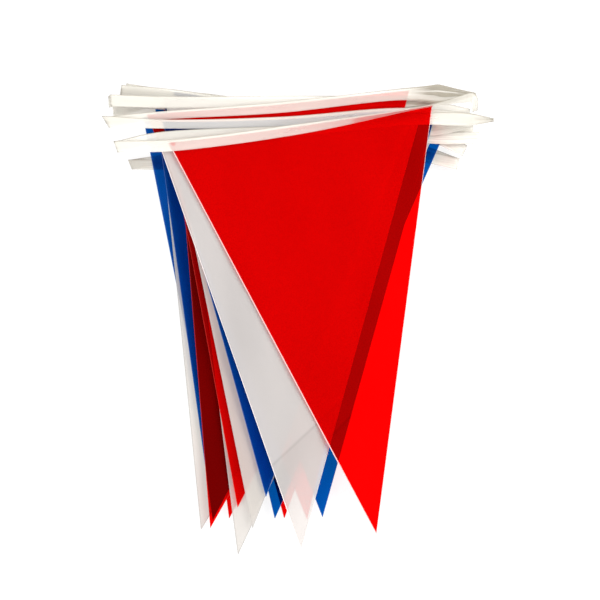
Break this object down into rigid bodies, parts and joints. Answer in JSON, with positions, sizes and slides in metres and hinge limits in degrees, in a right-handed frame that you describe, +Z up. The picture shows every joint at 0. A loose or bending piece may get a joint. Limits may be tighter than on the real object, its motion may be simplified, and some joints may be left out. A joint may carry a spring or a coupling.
{
  "type": "pennant bunting",
  "caption": "Folded triangular pennant bunting: thin coloured film pennants hanging from one white heading tape, folded back and forth into a fanned stack that lies flat.",
  "frame": {"origin": "centre of the bounding box in plan, at the surface that the stack lies on", "axes": "+X along the heading tape to the right of the top pennant, +Y from the pennant tips to the heading tape, +Z up through the stack"},
  "size_m": [0.2874, 0.3508, 0.0292],
  "materials": {
    "white_tape": "thin white film strip folded lengthwise, slightly translucent",
    "red_film": "thin translucent red film, soft sheen",
    "white_film": "thin translucent white film, soft sheen",
    "blue_film": "thin translucent blue film, soft sheen"
  },
  "bodies": {
    "root": {"heading_tape": "white_tape", "pennant_01_red": "red_film", "pennant_02_white": "white_film", "pennant_03_blue": "blue_film", "pennant_04_red": "red_film", "pennant_05_white": "white_film", "pennant_06_blue": "blue_film", "pennant_07_red": "red_film", "pennant_08_white": "white_film", "pennant_09_blue": "blue_film", "pennant_10_red": "red_film", "pennant_11_white": "white_film", "pennant_12_blue": "blue_film", "pennant_13_red": "red_film", "pennant_14_white": "white_film", "pennant_15_blue": "blue_film", "pennant_16_red": "red_film"}
  },
  "joints": []
}
